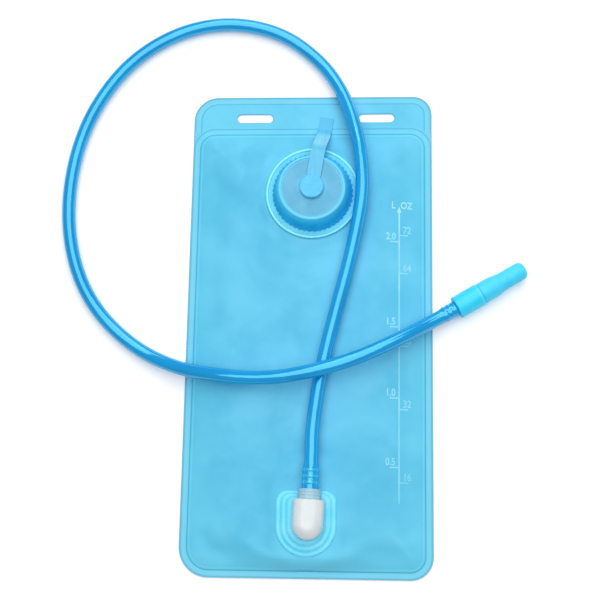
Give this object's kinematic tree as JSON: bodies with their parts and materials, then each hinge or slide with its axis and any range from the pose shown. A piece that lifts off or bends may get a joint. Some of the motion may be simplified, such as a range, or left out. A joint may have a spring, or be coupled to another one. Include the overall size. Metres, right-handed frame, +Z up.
{
  "type": "hydration bladder",
  "caption": "Flat film water reservoir with hanging slots, a tethered screw cap, an outlet elbow, a looped drinking hose and a push-pull bite valve.",
  "frame": {"origin": "on the resting face, at the middle of the bag's outline", "axes": "+Z up out of the front sheet, +Y along the bag towards the header and its hanging slots, +X to the right seen from above"},
  "size_m": [0.3382, 0.414, 0.0323],
  "materials": {
    "film": "satin translucent film",
    "clear_flange": "clear tinted moulding",
    "cap_plastic": "translucent moulding",
    "liner": "milky translucent disc",
    "gasket": "soft silicone",
    "strap": "soft satin strip",
    "button": "smooth moulding",
    "white_plastic": "glossy moulding",
    "connector": "greyish translucent moulding",
    "hose": "clear tinted tube",
    "valve": "satin moulding",
    "mouthpiece": "soft silicone",
    "o_ring": "soft rubber"
  },
  "bodies": {
    "bag": {"back_film": "film", "front_film": "film", "filler_neck": "clear_flange", "tether_strap": "strap", "port_flange": "clear_flange", "outlet_elbow": "white_plastic", "elbow_o_ring": "o_ring", "hose_connector": "connector", "drink_hose": "hose", "valve_connector": "connector", "valve_collar": "valve", "valve_o_ring": "o_ring"},
    "tether": {"tether_button": "button"},
    "cap": {"cap_shell": "cap_plastic", "cap_liner": "liner", "cap_gasket": "gasket"},
    "mouthpiece": {"mouthpiece": "mouthpiece"}
  },
  "joints": [
    {"name": "cap_lift", "type": "slide", "parent": "bag", "child": "tether", "axis": [0, 0, 1], "range_m": [0, 0.0125], "deforming": ["tether_strap"]},
    {"name": "cap_turn", "type": "hinge", "parent": "tether", "child": "cap", "pos_m": [0.0017, 0.0977, 0.024], "axis": [0, 0, 1], "range_deg": [0, 900]},
    {"name": "mouthpiece_pull", "type": "slide", "parent": "bag", "child": "mouthpiece", "axis": [0.859, 0.512, 0], "range_m": [0, 0.005]}
  ],
  "couplings": [
    {"joint": "cap_lift", "follows": "cap_turn", "m_per_rad": 0.00079577}
  ]
}
